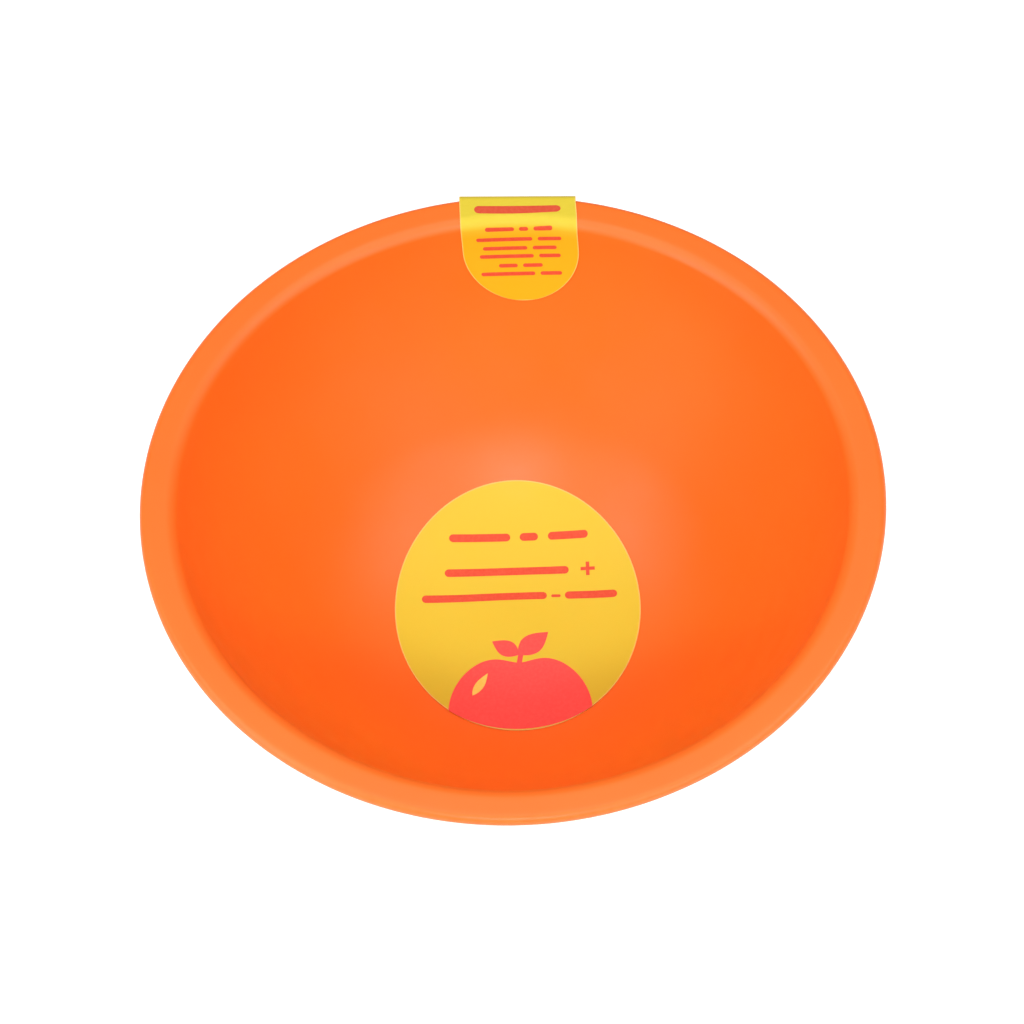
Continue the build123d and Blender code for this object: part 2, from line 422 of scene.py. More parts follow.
@dataclass(frozen=True)
class MouldedPlastic:
    """Satin polypropylene: cloudy pigment, a fine spark-eroded grain and edges rubbed a little paler."""

    name: str
    colour: Colour
    cloud: Colour
    rubbed: Colour
    gloss: tuple[float, float] = (0.41, 0.49)
    grain_size: float = 0.35
    grain_height: float = 0.0035
    specular: float = 0.5

    def material(self) -> bpy.types.Material:
        """The material of the finish."""
        shading = Shading(self.name)
        clouds = shading.spread(shading.noise(34, 3), 0.35, 0.65, 0, 1)
        body = shading.mix(clouds, self.colour, self.cloud)
        wear = shading.spread(shading.noise(2.2, 4), 0.35, 0.7, 0.25, 1.0)
        worn = shading.nodes.new("ShaderNodeMath")
        worn.operation = "MULTIPLY"
        shading.join(wear, worn.inputs[0])
        shading.join(shading.mark("edge"), worn.inputs[1])
        shading.colour(shading.mix(worn.outputs[0], body, self.rubbed))
        shading.roughness(shading.spread(shading.noise(9, 3), 0.3, 0.7, *self.gloss))
        shading.relief((shading.noise(14, 1), 0.012), (shading.noise(self.grain_size, 2), self.grain_height))
        shading.fix(Specular_IOR_Level=self.specular)
        return shading.material


@dataclass(frozen=True)
class SoftRubber:
    """Thermoplastic elastomer: matt, faintly see-through at its edges, with a dusty bloom."""

    name: str
    colour: Colour
    bloom: Colour
    gloss: tuple[float, float] = (0.48, 0.62)

    def material(self) -> bpy.types.Material:
        """The material of the finish."""
        shading = Shading(self.name)
        dust = shading.spread(shading.noise(6, 4), 0.42, 0.75, 0, 0.7)
        shading.colour(shading.mix(dust, self.colour, self.bloom))
        shading.roughness(shading.spread(shading.noise(3, 3), 0.3, 0.7, *self.gloss))
        shading.relief((shading.noise(8, 2), 0.02), (shading.noise(0.4, 2), 0.006))
        shading.fix(Subsurface_Weight=0.12, Subsurface_Scale=0.002, Sheen_Weight=0.15, Sheen_Roughness=0.4)
        shading.shader.inputs["Subsurface Radius"].default_value = (1.0, 0.5, 0.15)
        return shading.material


@dataclass(frozen=True)
class PrintedFilm:
    """A label's stock: paper fibres under a matt varnish, and a pale cut edge.

    Down a wall the stock is mixed by height towards a more orange colour: painted light bounced onto it from
    the bowl's orange wall.

    Attributes:
        name: the material's name.
        colour: the stock's colour.
        fibre: the colour of its fibres.
        edge: the colour of its cut edge.
        painted_bounce: the colour that it is painted down the wall, which is painted orange bounce light from
            the bowl's wall.
        painted_bounce_from: the heights in millimetres where it has none of that painted bounce light, and
            where it has all of it.
        edge_width: how wide the cut edge shows.
    """

    name: str
    colour: Colour
    fibre: Colour
    edge: Colour
    painted_bounce: Colour
    painted_bounce_from: tuple[float, float]
    edge_width: float = 0.24

    def material(self) -> bpy.types.Material:
        """The material of the finish."""
        shading = Shading(self.name)
        fibres = shading.spread(shading.noise(0.6, 4, (0.4, 1.0, 0.6)), 0.35, 0.7, 0, 1)
        none, full = self.painted_bounce_from
        # Painted bounce light: from none at the upper height to full at the lower one, the stock is mixed
        # towards an orange that stands for light reflected off the bowl's wall.
        bounce_share = shading.spread(shading.height(), full * MM, none * MM, 1, 0)
        stock = shading.mix(bounce_share, shading.mix(fibres, self.colour, self.fibre), self.painted_bounce)
        cut = shading.spread(shading.mark("inset"), self.edge_width * 0.6, self.edge_width, 0.8, 0)
        shading.colour(shading.mix(cut, stock, self.edge))
        shading.roughness(shading.spread(shading.noise(4, 3), 0.3, 0.7, 0.44, 0.56))
        shading.relief((shading.noise(11, 2), 0.02), (shading.noise(0.5, 3, (1.0, 0.4, 1.0)), 0.004))
        shading.fix(Specular_IOR_Level=0.22)
        return shading.material


@dataclass(frozen=True)
class Ink:
    """Printing ink: laid a little unevenly over the stock's fibres."""

    name: str
    colour: Colour
    thin: Colour

    def material(self) -> bpy.types.Material:
        """The material of the finish."""
        shading = Shading(self.name)
        worn = shading.spread(shading.noise(0.7, 4), 0.4, 0.75, 0, 1)
        shading.colour(shading.mix(worn, self.colour, self.thin))
        shading.roughness(shading.spread(shading.noise(3, 2), 0.3, 0.7, 0.42, 0.54))
        shading.relief((shading.noise(0.5, 3, (1.0, 0.4, 1.0)), 0.003))
        shading.fix(Specular_IOR_Level=0.22)
        return shading.material


ORANGE_PLASTIC = MouldedPlastic(
    "orange_plastic", colour=(0.93, 0.150, 0.0085), cloud=(0.94, 0.158, 0.0095), rubbed=(0.95, 0.19, 0.02)
)
WHITE_PLASTIC = MouldedPlastic(
    "white_plastic", colour=(0.80, 0.78, 0.73), cloud=(0.83, 0.81, 0.77), rubbed=(0.88, 0.87, 0.84)
)
AMBER_RUBBER = SoftRubber("amber_rubber", colour=(0.90, 0.46, 0.035), bloom=(0.92, 0.56, 0.10))
# The floor label takes its painted bounce colour at every height, and that colour is its own stock colour, so
# no bounce light is painted on it.
FLOOR_FILM = PrintedFilm(
    "floor_film",
    colour=(0.66, 0.55, 0.038),
    fibre=(0.68, 0.57, 0.044),
    edge=(0.85, 0.58, 0.18),
    painted_bounce=(0.66, 0.55, 0.038),
    painted_bounce_from=(-2.0, -1.0),
)
# The rim label is painted more orange from 73.6 mm down to 70.5 mm: painted light bounced off the bowl's
# orange wall.
RIM_FILM = PrintedFilm(
    "rim_film",
    colour=(0.68, 0.52, 0.037),
    fibre=(0.70, 0.54, 0.041),
    edge=(0.85, 0.58, 0.15),
    painted_bounce=(0.74, 0.42, 0.010),
    painted_bounce_from=(73.6, 70.5),
)
RED_INK = Ink("red_ink", colour=(0.90, 0.085, 0.078), thin=(0.93, 0.105, 0.092))
RUST_INK = Ink("rust_ink", colour=(0.64, 0.075, 0.032), thin=(0.67, 0.095, 0.042))
PALE_INK = Ink("pale_ink", colour=(0.86, 0.62, 0.10), thin=(0.88, 0.66, 0.14))


# The bowl -------------------------------------------------------------------------------------------------


@dataclass
class Bowl:
    """The moulded bowl: a round floor, a steep wall, a flat rim with a full round edge, and a foot ring."""

    rim_radius: float
    rim_top: float
    foot_bottom: float
    depth: float = 60.0
    wall: float = 2.4
    rim_width: float = 4.8
    inner_fillet: float = 2.7
    lip: float = 2.8
    lip_root: float = 1.2
    floor_flat: float = 10.0
    slope_top: float = 73.0
    slope_bottom: float = 54.0
    foot_inner: float = 20.0
    foot_outer: float = 22.6
    foot_edge: float = 0.6
    foot_root: float = 0.5
    foot_round: float = 0.3
    gate: tuple[float, float] = (1.5, 1.1)
    gate_depth: float = 0.25
    wear: float = 1.5
    spacing: float = 1.1
    around: int = 288

    def __post_init__(self) -> None:
        """Works out the two radii of the inside that make its flat, round, wall and rim fillet run smoothly.

        The rise from the floor to the fillet, and the run from the flat to the fillet, are each the sum of
        the round's share and the wall's share, which gives two equations for the two radii.
        """
        top, bottom = radians(self.slope_top), radians(self.slope_bottom)
        rise = self.depth - self.inner_fillet * (1 - cos(top))
        run = self.mouth - self.inner_fillet * sin(top) - self.floor_flat
        shares = np.array([[cos(bottom) - cos(top), 1 - cos(bottom)], [sin(top) - sin(bottom), sin(bottom)]])
        self.wall_radius, self.round_radius = np.linalg.solve(shares, [rise, run])
        self.round_centre = (self.floor_flat, self.floor + self.round_radius)
        extra = self.wall_radius - self.round_radius
        self.wall_centre = (
            self.round_centre[0] - extra * sin(bottom),
            self.round_centre[1] + extra * cos(bottom),
        )

    @property
    def floor(self) -> float:
        """The height of the inside's floor."""
        return self.rim_top - self.depth

    @property
    def mouth(self) -> float:
        """The radius where the flat rim meets its inner fillet."""
        return self.rim_radius - self.rim_width

    def _corner(self, radius: float, side: float) -> tuple[tuple[float, float], float]:
        """A small round between the bowl's underside and an upright wall of the foot.

        Args:
            radius: the small round's radius.
            side: the radius of the upright wall, plus the small round's radius outside it or less it inside.

        Returns:
            The round's centre, and the angle in degrees at which it looks at the floor round's centre.
        """
        reach = self.round_radius + self.wall + radius
        height = self.round_centre[1] - sqrt(reach**2 - (side - self.round_centre[0]) ** 2)
        look = degrees(atan2(self.round_centre[1] - height, self.round_centre[0] - side))
        return (side, height), look

    def section(self) -> Array:
        """The bowl's whole section, from the axis over the inside, the rim, the outside and the foot.

        It ends under the floor at the small mark of the mould's gate.
        """
        edge = self.lip / 2
        under = self.rim_top - self.lip
        steep, gentle = self.slope_top - 90, self.slope_bottom - 90
        reach = self.wall_radius + self.wall + self.lip_root
        root_height = under - self.lip_root
        root_radius = self.wall_centre[0] + sqrt(reach**2 - (self.wall_centre[1] - root_height) ** 2)
        root = (root_radius, root_height)
        look = degrees(atan2(self.wall_centre[1] - root_height, self.wall_centre[0] - root_radius))
        outer, outer_look = self._corner(self.foot_root, self.foot_outer + self.foot_root)
        inner, inner_look = self._corner(self.foot_root, self.foot_inner - self.foot_root)
        low, corner, small = self.foot_bottom, self.foot_edge, self.foot_round
        under_floor = self.floor - self.wall
        gate_bottom = under_floor - self.gate_depth
        chain = Section(0, self.floor, self.spacing).line(self.floor_flat, self.floor)
        chain.arc(self.round_centre, self.round_radius, -90, gentle)
        chain.arc(self.wall_centre, self.wall_radius, gentle, steep)
        chain.arc((self.mouth, self.rim_top - self.inner_fillet), self.inner_fillet, self.slope_top + 90, 90)
        chain.line(self.rim_radius - edge, self.rim_top)
        chain.arc((self.rim_radius - edge, self.rim_top - edge), edge, 90, -90)
        chain.line(root_radius, under)
        chain.arc(root, self.lip_root, 90, look)
        chain.arc(self.wall_centre, self.wall_radius + self.wall, look - 180, gentle)
        chain.arc(self.round_centre, self.round_radius + self.wall, gentle, outer_look - 180)
        chain.arc(outer, self.foot_root, outer_look, 180)
        chain.line(self.foot_outer, low + corner)
        chain.arc((self.foot_outer - corner, low + corner), corner, 0, -90)
        chain.line(self.foot_inner + small, low)
        chain.arc((self.foot_inner + small, low + small), small, -90, -180)
        chain.line(self.foot_inner, inner[1])
        chain.arc(inner, self.foot_root, 0, inner_look)
        chain.arc(self.round_centre, self.round_radius + self.wall, inner_look - 180, -90)
        chain.line(self.gate[0], under_floor).line(self.gate[1], gate_bottom)
        return chain.line(0, gate_bottom).points()

    def build(self) -> bpy.types.Object:
        """Makes the bowl and dresses it: its edge mark fades with the distance from the lip and the foot."""
        surface = turned(self.section(), self.around)
        radius = np.hypot(surface.rings[..., 0], surface.rings[..., 1])
        height = surface.rings[..., 2]
        lip = np.hypot(radius - self.rim_radius, height - self.rim_top + self.lip / 2)
        foot = np.hypot(radius - self.foot_outer, height - self.foot_bottom)
        surface.marks["edge"] = np.exp(-((np.minimum(lip, foot) / self.wear) ** 2))
        made = piece("bowl", [surface], ORANGE_PLASTIC.material())
        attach(made, Body.BOWL.value)
        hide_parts(Node.BOWL.value)
        return made

    def on_floor(self, x: Array, y: Array, lift: float) -> Array:
        """Points over the floor, by their place in plan.

        Out to the flat's edge the floor is level. Beyond it the slope's sine is the distance past that edge
        over the round's radius. A point stands off the surface along the surface's own normal.

        Args:
            x: places across, in plan.
            y: places along, in plan.
            lift: the height over the surface.

        Returns:
            The points, with x, y and z on the last axis.
        """
        radius = np.hypot(x, y)
        sine = np.clip(radius - self.floor_flat, 0, None) / self.round_radius
        cosine = np.sqrt(1 - sine**2)
        height = self.floor + self.round_radius * (1 - cosine) + lift * cosine
        inward = 1 - lift * sine / np.maximum(radius, 1e-6)
        return np.stack([x * inward, y * inward, height], -1)

    def plan_of(self, run: Array) -> Array:
        """The plan distance from the axis of a point that lies so far along the floor's section."""
        beyond = np.clip(np.abs(run) - self.floor_flat, 0, None) / self.round_radius
        return np.sign(run) * (np.minimum(np.abs(run), self.floor_flat) + self.round_radius * np.sin(beyond))

    def run_of(self, plan: float) -> float:
        """The distance along the floor's section of a point on its round, by its plan distance."""
        if plan <= self.floor_flat:
            return plan
        sine = (plan - self.floor_flat) / self.round_radius
        return self.floor_flat + self.round_radius * float(np.arcsin(sine))

    def down_the_wall(self, run: Array) -> tuple[Array, Array, Array]:
        """The section from the flat rim over its inner fillet and down the wall.

        Before the mouth the rim is level. On the fillet the slope grows evenly with the run, and on the wall
        it falls back evenly, by the run over the wall's radius.

        Args:
            run: distances from the mouth along the section, inwards, negative on the flat rim.

        Returns:
            The radius, the height and the slope in radians.
        """
        top = radians(self.slope_top)
        turn = self.inner_fillet * top
        rounding = np.clip(run, 0, None) / self.inner_fillet
        slope = np.where(run < turn, rounding, top - (run - turn) / self.wall_radius)
        on_wall = run > turn
        radius = np.where(
            on_wall,
            self.wall_centre[0] + self.wall_radius * np.sin(slope),
            self.mouth - self.inner_fillet * np.sin(slope) + np.clip(-run, 0, None),
        )
        height = np.where(
            on_wall,
            self.wall_centre[1] - self.wall_radius * np.cos(slope),
            self.rim_top - self.inner_fillet * (1 - np.cos(slope)),
        )
        return radius, height, slope

    def outside_at(self, height: float) -> tuple[float, float]:
        """The radius of the wall's outside at a height, and its slope in radians."""
        drop = self.wall_centre[1] - height
        reach = self.wall_radius + self.wall
        return self.wall_centre[0] + sqrt(reach**2 - drop**2), pi / 2 - float(np.arcsin(drop / reach))


# The suction base -----------------------------------------------------------------------------------------


@dataclass
class Hub:
    """The stiff disc between cup and bowl: a flange that the cup grips, and a plug for the bowl's foot."""

    flange_radius: float
    bottom: float
    plug_top: float
    plug_radius: float = 19.95
    flange: float = 2.0
    chamfer: float = 0.6
    groove: float = 0.7
    edge: float = 0.3
    groove_radii: tuple[float, ...] = (15.5, 8.0)
    groove_half: tuple[float, float] = (1.2, 0.9)
    gate: tuple[float, float] = (1.6, 1.3)
    gate_depth: float = 0.3
    wear: float = 1.2
    spacing: float = 0.8
    around: int = 144

    def section(self) -> Array:
        """The hub's section: level under the flange, its rounded edge, the plug and a grooved top."""
        shoulder, top, edge = self.bottom + self.flange, self.plug_top, self.edge
        rim = self.flange_radius - edge
        chain = Section(0, self.bottom, self.spacing).line(rim, self.bottom)
        chain.arc((rim, self.bottom + edge), edge, -90, 0)
        chain.arc((rim, shoulder - edge), edge, 0, 90)
        chain.line(self.plug_radius, shoulder).line(self.plug_radius, top - self.chamfer)
        chain.arc((self.plug_radius - self.chamfer, top - self.chamfer), self.chamfer, 0, 90)
        mouth, bottom = self.groove_half
        for middle in self.groove_radii:
            chain.line(middle + mouth, top).line(middle + bottom, top - self.groove)
            chain.line(middle - bottom, top - self.groove).line(middle - mouth, top)
        gate_bottom = top - self.gate_depth
        return chain.line(self.gate[0], top).line(self.gate[1], gate_bottom).line(0, gate_bottom).points()

    def build(self) -> bpy.types.Object:
        """Makes the hub and dresses it: its edge mark is strongest round the top of the plug."""
        surface = turned(self.section(), self.around)
        radius = np.hypot(surface.rings[..., 0], surface.rings[..., 1])
        gap = np.hypot(radius - self.plug_radius, surface.rings[..., 2] - self.plug_top)
        surface.marks["edge"] = np.exp(-((gap / self.wear) ** 2))
        made = piece("plug_hub", [surface], WHITE_PLASTIC.material())
        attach(made, Body.HUB.value)
        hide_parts(Node.HUB.value)
        return made


@dataclass
class SuctionCup:
    """The soft cup: a sealing ring on the table, a hollow dome, and a collar that grips the hub's flange."""

    radius: float
    top: float
    seal: float = 3.0
    seal_thickness: float = 1.3
    dome: float = 3.4
    dome_shoulder: tuple[float, float] = (15.0, 2.6)
    collar: float = 26.45
    opening: float = 23.4
    pocket: float = 25.05
    pocket_bottom: float = 4.85
    pocket_top: float = 6.95
    bow: float = 0.35
    rib: float = 0.14
    rib_count: int = 4
    skirt_step: float = 0.6
    rib_half: float = 0.075
    seal_edge: float = 0.4
    collar_edge: float = 0.7
    mouth_edge: float = 0.4
    ring: float = 0.09
    ring_pitch: float = 2.2
    ring_start: float = 17.6
    spacing: float = 0.45
    around: int = 240

    def _dome(self) -> tuple[tuple[float, float], float, float, float]:
        """The hollow's arc, through its crown, its shoulder and the seal's inner edge.

        The centre is as far from all three points, which gives two straight equations for its place.

        Returns:
            The centre, the radius, and the angles in degrees at the crown and at the seal.
        """
        crown, shoulder, seal = (0.0, self.dome), self.dome_shoulder, (self.radius - self.seal, 0.0)
        sides = 2 * np.array([np.subtract(shoulder, crown), np.subtract(seal, crown)])
        gaps = [np.dot(point, point) - np.dot(crown, crown) for point in (shoulder, seal)]
        centre = np.linalg.solve(sides, gaps)
        begin, end = (degrees(atan2(p[1] - centre[1], p[0] - centre[0])) for p in (crown, seal))
        return (centre[0], centre[1]), hypot(*(centre - crown)), begin, end

    def _skirt(self, count: int = 60) -> Array:
        """The skirt's outside, from the seal's edge up to the collar.

        It is the straight way there, pulled in by half a sine wave, with a few narrow ribs: each rib is a
        raised cosine about its own place.
        """
        start = np.array([self.radius, self.seal_thickness])
        way = np.array([self.collar, self.pocket_bottom + self.skirt_step]) - start
        share = np.linspace(0, 1, count)
        out = np.array([-way[1], way[0]]) / np.hypot(*way)
        out = out if out[1] > 0 else -out
        places = (np.arange(self.rib_count) + 0.75) / (self.rib_count + 0.75)
        gap = np.clip((share[:, None] - places) / self.rib_half, -1, 1)
        ribs = (0.5 + 0.5 * np.cos(pi * gap)).sum(1)
        swell = self.rib * ribs - self.bow * np.sin(pi * share)
        return start + share[:, None] * way + swell[:, None] * out

    def section(self) -> Array:
        """The cup's section: up the dome's hollow, round the seal, up the skirt and into the pocket."""
        centre, reach, begin, end = self._dome()
        inner, edge = self.radius - self.seal, self.seal_edge
        collar_edge, mouth_edge = self.collar_edge, self.mouth_edge
        chain = Section(0, self.dome, self.spacing)
        chain.arc(centre, reach, begin, end)
        chain.line(inner, 0).line(self.radius - edge, 0)
        chain.arc((self.radius - edge, edge), edge, -90, 0)
        chain.line(self.radius, self.seal_thickness)
        chain.through(self._skirt())
        chain.line(self.collar, self.top - collar_edge)
        chain.arc((self.collar - collar_edge, self.top - collar_edge), collar_edge, 0, 90)
        chain.line(self.opening + mouth_edge, self.top)
        chain.arc((self.opening + mouth_edge, self.top - mouth_edge), mouth_edge, 90, 180)
        chain.line(self.opening, self.pocket_top).line(self.pocket, self.pocket_top)
        chain.line(self.pocket, self.pocket_bottom).line(0, self.pocket_bottom)
        points = chain.points()
        hollow = (points[:, 1] > 0.05) & (points[:, 1] < self.dome + 0.01) & (points[:, 0] < inner)
        across = points[:, 0]
        rings = self.ring * np.sin(across * tau / self.ring_pitch) ** 2 * (across > self.ring_start)
        points[:, 1] += np.where(hollow & (np.arange(len(points)) < len(points) / 2), rings, 0)
        return points

    def build(self) -> bpy.types.Object:
        """Makes the cup and dresses it."""
        made = piece("suction_cup_skin", [turned(self.section(), self.around)], AMBER_RUBBER.material())
        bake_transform(made)
        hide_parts(Node.CUP.value)
        return made


@dataclass
class ReleaseTab:
    """The fingertip tab on the cup's edge: a soft tongue with ribs across it."""

    tip: float
    width: float
    bottom: float
    root: float = 30.6
    thickness: float = 1.8
    corner: float = 6.7
    hinge_start: float = 31.5
    hinge_end: float = 34.5
    rib_count: int = 3
    rib_pitch: float = 3.0
    rib_inset: float = 3.0
    rib_radius: float = 0.5
    rib_length: float = 8.0
    bluntness: float = 0.38
    end_round: float = 0.9
    hinge_thinning: float = 0.35
    hinge_half: float = 0.9
    around: int = 72

    def build(self) -> bpy.types.Object:
        """Makes the tab: loops across it, carried from its root to its tip.

        Each loop is a flattened round: its width times a cosine and its thickness times a sine, both raised
        to a low power so that the sides are blunt. Both shrink in a quarter circle at the tip. The ribs are
        half rounds added to the top side, and the tongue thins to a living hinge at its root.
        """
        turn = np.linspace(0, pi / 2, 40)
        tip_start = self.tip - self.corner
        straight = np.linspace(self.root, tip_start, 90)[:-1]
        along = np.concatenate([straight, tip_start + self.corner * np.sin(turn)])
        beyond = np.clip(along - self.tip + self.corner, 0, self.corner - 0.02) / self.corner
        half = self.width / 2 - self.corner * (1 - np.sqrt(1 - beyond**2))
        taper = np.clip((self.tip - along) / self.end_round, 0.02, 1)
        blunt = np.sqrt(1 - (1 - taper) ** 2)
        from_hinge = (along - (self.hinge_start + self.hinge_end) / 2) / self.hinge_half
        hinge = 1 - self.hinge_thinning * np.exp(-(from_hinge**2))
        tall = self.thickness / 2 * blunt * hinge
        angle = np.arange(self.around) / self.around * tau
        cosine, sine = np.cos(angle), np.sin(angle)
        across = np.sign(cosine) * np.abs(cosine) ** self.bluntness
        up = np.sign(sine) * np.abs(sine) ** self.bluntness
        x = half[:, None] * across
        z = self.bottom + self.thickness / 2 + tall[:, None] * up
        places = self.tip - self.rib_inset - np.arange(self.rib_count) * self.rib_pitch
        gap = np.abs(along[:, None] - places).min(1) / self.rib_radius
        rib = self.rib_radius * np.sqrt(np.clip(1 - gap**2, 0, 1))[:, None]
        ends = np.clip((self.rib_length / 2 - np.abs(x)) / 0.5, 0, 1)
        z = z + np.where(up > 0.5, rib * np.sqrt(ends), 0)
        rings = np.stack([x, along[:, None] + 0 * x, z], -1)
        surface = Surface(rings, rings[0].mean(0), rings[-1].mean(0))
        made = piece("finger_tab", [surface], AMBER_RUBBER.material())
        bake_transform(made)
        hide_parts(Node.TAB.value)
        return made


# The labels -----------------------------------------------------------------------------------------------


@dataclass(frozen=True)
class Bar:
    """One rounded bar of print, which stands for a word.

    Attributes:
        begin: where it begins, across the label.
        end: where it ends.
        line: where its middle lies, along the label.
        height: how tall it is.
    """

    begin: float
    end: float
    line: float
    height: float

    def outline(self) -> Array:
        """A strip with round ends: half circles joined by straight sides, evenly spaced along each."""
        half = self.height / 2
        angle = np.linspace(-pi / 2, pi / 2, 10)
        right = np.stack([self.end - half + half * np.cos(angle), self.line + half * np.sin(angle)], -1)
        left = np.stack([self.begin + half - half * np.cos(angle), self.line - half * np.sin(angle)], -1)
        count = max(4, ceil((self.end - self.begin) / 0.8))
        side = np.linspace(self.end - half, self.begin + half, count)[1:-1]
        over = np.stack([side, self.line + half + 0 * side], -1)
        under = np.stack([side[::-1], self.line - half + 0 * side], -1)
        return np.concatenate([right, over, left, under])


def plus_outline(across: float, along: float, size: float, stroke: float) -> Array:
    """A plus sign: twelve corners round its middle, with a few points on each side."""
    arm, half = size / 2, stroke / 2
    corner = np.array([[arm, -half], [arm, half], [half, half]])
    quarters = [corner @ np.array([[cos(a), sin(a)], [-sin(a), cos(a)]]) for a in np.arange(4) * pi / 2]
    corners = np.concatenate(quarters)
    share = np.arange(4)[:, None] / 4
    sides = [a + share * (b - a) for a, b in zip(corners, np.roll(corners, -1, 0))]
    return np.concatenate(sides) + (across, along)


def leaf_outline(across: float, along: float, length: float, width: float, turn: float) -> Array:
    """A leaf: a sine wave's hump on either side of its rib, a little fuller near the stem."""
    share = np.linspace(0, 1, 40)
    swell = width / 2 * np.sin(pi * share**0.85)
    top = np.stack([length * share, swell], -1)[:-1]
    bottom = np.stack([length * share, -swell], -1)[:0:-1]
    shape = np.concatenate([top, bottom])
    a = radians(turn)
    return shape @ np.array([[cos(a), sin(a)], [-sin(a), cos(a)]]) + (across, along)


@dataclass
class FloorLabel:
    """The oval label on the bowl's floor: print bars, and an apple that the lower edge cuts off."""

    bowl: Bowl
    half_width: float = 25.8
    half_length: float = 28.5
    offset: float = 7.8
    turn: float = 3.2
    lean: float = -1.1
    sag: float = 340.0
    low: float = 0.05
    high: float = 0.20
    print_height: float = 0.03
    margin: float = 0.35
    apple_radius: float = 14.9
    apple_middle: float = -23.6
    apple_height: float = 0.97
    dip: tuple[float, float] = (0.17, 0.33)
    cheek: tuple[float, float, float] = (0.035, 0.5, 0.75)
    bars: tuple[Bar, ...] = (
        Bar(-14.2, -1.2, 18.1, 1.7), Bar(0.8, 4.7, 18.1, 1.7), Bar(6.8, 15.3, 18.1, 1.7),
        Bar(-15.3, 11.0, 10.5, 1.7),
        Bar(-20.2, 6.2, 4.7, 1.7), Bar(7.1, 9.1, 4.6, 0.65), Bar(10.0, 21.0, 4.7, 1.7),
    )

    def _in_plan(self, x: Array, y: Array, lift: float) -> Array:
        """Points by their place in plan, before the label is turned about the bowl's axis."""
        a = radians(self.turn)
        return self.bowl.on_floor(x * cos(a) - y * sin(a), x * sin(a) + y * cos(a), lift)

    def _in_print(self, u: Array, v: Array, lift: float) -> Array:
        """Points by their place on the flat label: u across, and v along the floor's curve.

        The print leans a little, and its lines sag towards the baby by the square of u over a length,
        because the flat label settles into a round floor.
        """
        a = radians(self.lean)
        across, along = u * cos(a) - v * sin(a), u * sin(a) + v * cos(a) - u**2 / self.sag
        return self._in_plan(across, self.bowl.plan_of(along + self.bowl.run_of(self.offset)), lift)

    def _cut(self, outline: Array) -> Array:
        """Pulls an outline in to the label's own edge.

        Each point lies on a ray from the outline's middle. The ray meets the label's ellipse at a share that
        solves a quadratic, and the point keeps the lesser of that share and its own.
        """
        far = self.bowl.run_of(self.offset + self.half_length)
        near = -self.bowl.run_of(self.half_length - self.offset)
        middle_v = (far + near) / 2 - self.bowl.run_of(self.offset)
        half = np.array([self.half_width - self.margin, (far - near) / 2 - self.margin])
        middle = outline.mean(0)
        start = (middle - (0, middle_v)) / half
        ray = (outline - middle) / half
        a, b, c = (ray**2).sum(1), 2 * ray @ start, start @ start - 1
        share = (-b + np.sqrt(b * b - 4 * a * c)) / (2 * a)
        return middle + np.minimum(share, 1)[:, None] * (outline - middle)

    def _apple(self) -> Array:
        """The apple: a circle with a dip at its top and a fuller cheek on either side.

        The dip is a narrow bell taken off the radius, and each cheek a wider one added to it: ``dip`` and
        ``cheek`` hold the bell's height, its width and how far to the side it stands.
        """
        angle = np.arange(240) / 240 * tau
        from_top = angle - pi / 2
        dip_height, dip_width = self.dip
        cheek_height, cheek_width, aside = self.cheek
        dip = np.exp(-((from_top / dip_width) ** 2))
        cheek = np.exp(-(((np.abs(from_top) - aside) / cheek_width) ** 2))
        radius = self.apple_radius * (1 - dip_height * dip + cheek_height * cheek)
        along = self.apple_middle + self.apple_height * radius * np.sin(angle)
        return np.stack([radius * np.cos(angle), along], -1)

    def build(self) -> list[bpy.types.Object]:
        """Makes the label, its bars, its apple and the apple's shine."""
        angle = np.arange(200) / 200 * tau
        oval = np.stack([self.half_width * np.cos(angle), self.offset + self.half_length * np.sin(angle)], -1)
        levels = [*np.linspace(0.04, 0.96, 32), 0.972, 0.98, 0.987, 0.993, 0.998, 1.0]
        stock = patch(oval, levels, self._in_plan, self.low, self.high)
        fine = [*np.linspace(0.08, 0.92, 14), 0.97, 1.0]
        coarse = [0.5, 0.9, 1.0]
        top, bottom = self.high + self.print_height, self.high + 0.005
        outlines = [bar.outline() for bar in self.bars] + [plus_outline(15.0, 10.6, 3.0, 0.75)]
        words = [patch(outline, coarse, self._in_print, bottom, top) for outline in outlines]
        fruit = [patch(self._cut(self._apple()), fine, self._in_print, bottom, top)]
        leaves = [leaf_outline(-0.2, -9.6, 8.4, 4.6, 40), leaf_outline(0.0, -9.6, 6.6, 3.8, 148)]
        upright = np.array([[0.17, 0.985], [-0.985, 0.17]])
        stalk = Bar(-5.6, 0.4, 0.0, 1.1)
        leaves.append(stalk.outline() @ upright + (0.9, -6.4))
        for k, outline in enumerate(leaves):
            fruit.append(patch(outline, coarse, self._in_print, bottom, top + 0.004 * k))
        shine = leaf_outline(-9.9, -19.0, 6.2, 1.9, 58)
        glint = [patch(shine, coarse, self._in_print, top + 0.001, top + 0.012)]
        made = [
            piece("floor_label_film", [stock], FLOOR_FILM.material()),
            piece("floor_label_words", words, RUST_INK.material()),
            piece("floor_label_apple", fruit, RED_INK.material()),
            piece("floor_label_shine", glint, PALE_INK.material()),
        ]
        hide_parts(Node.FLOOR_LABEL.value)
        for part in made:
            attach(part, Body.BOWL.value)
        return made


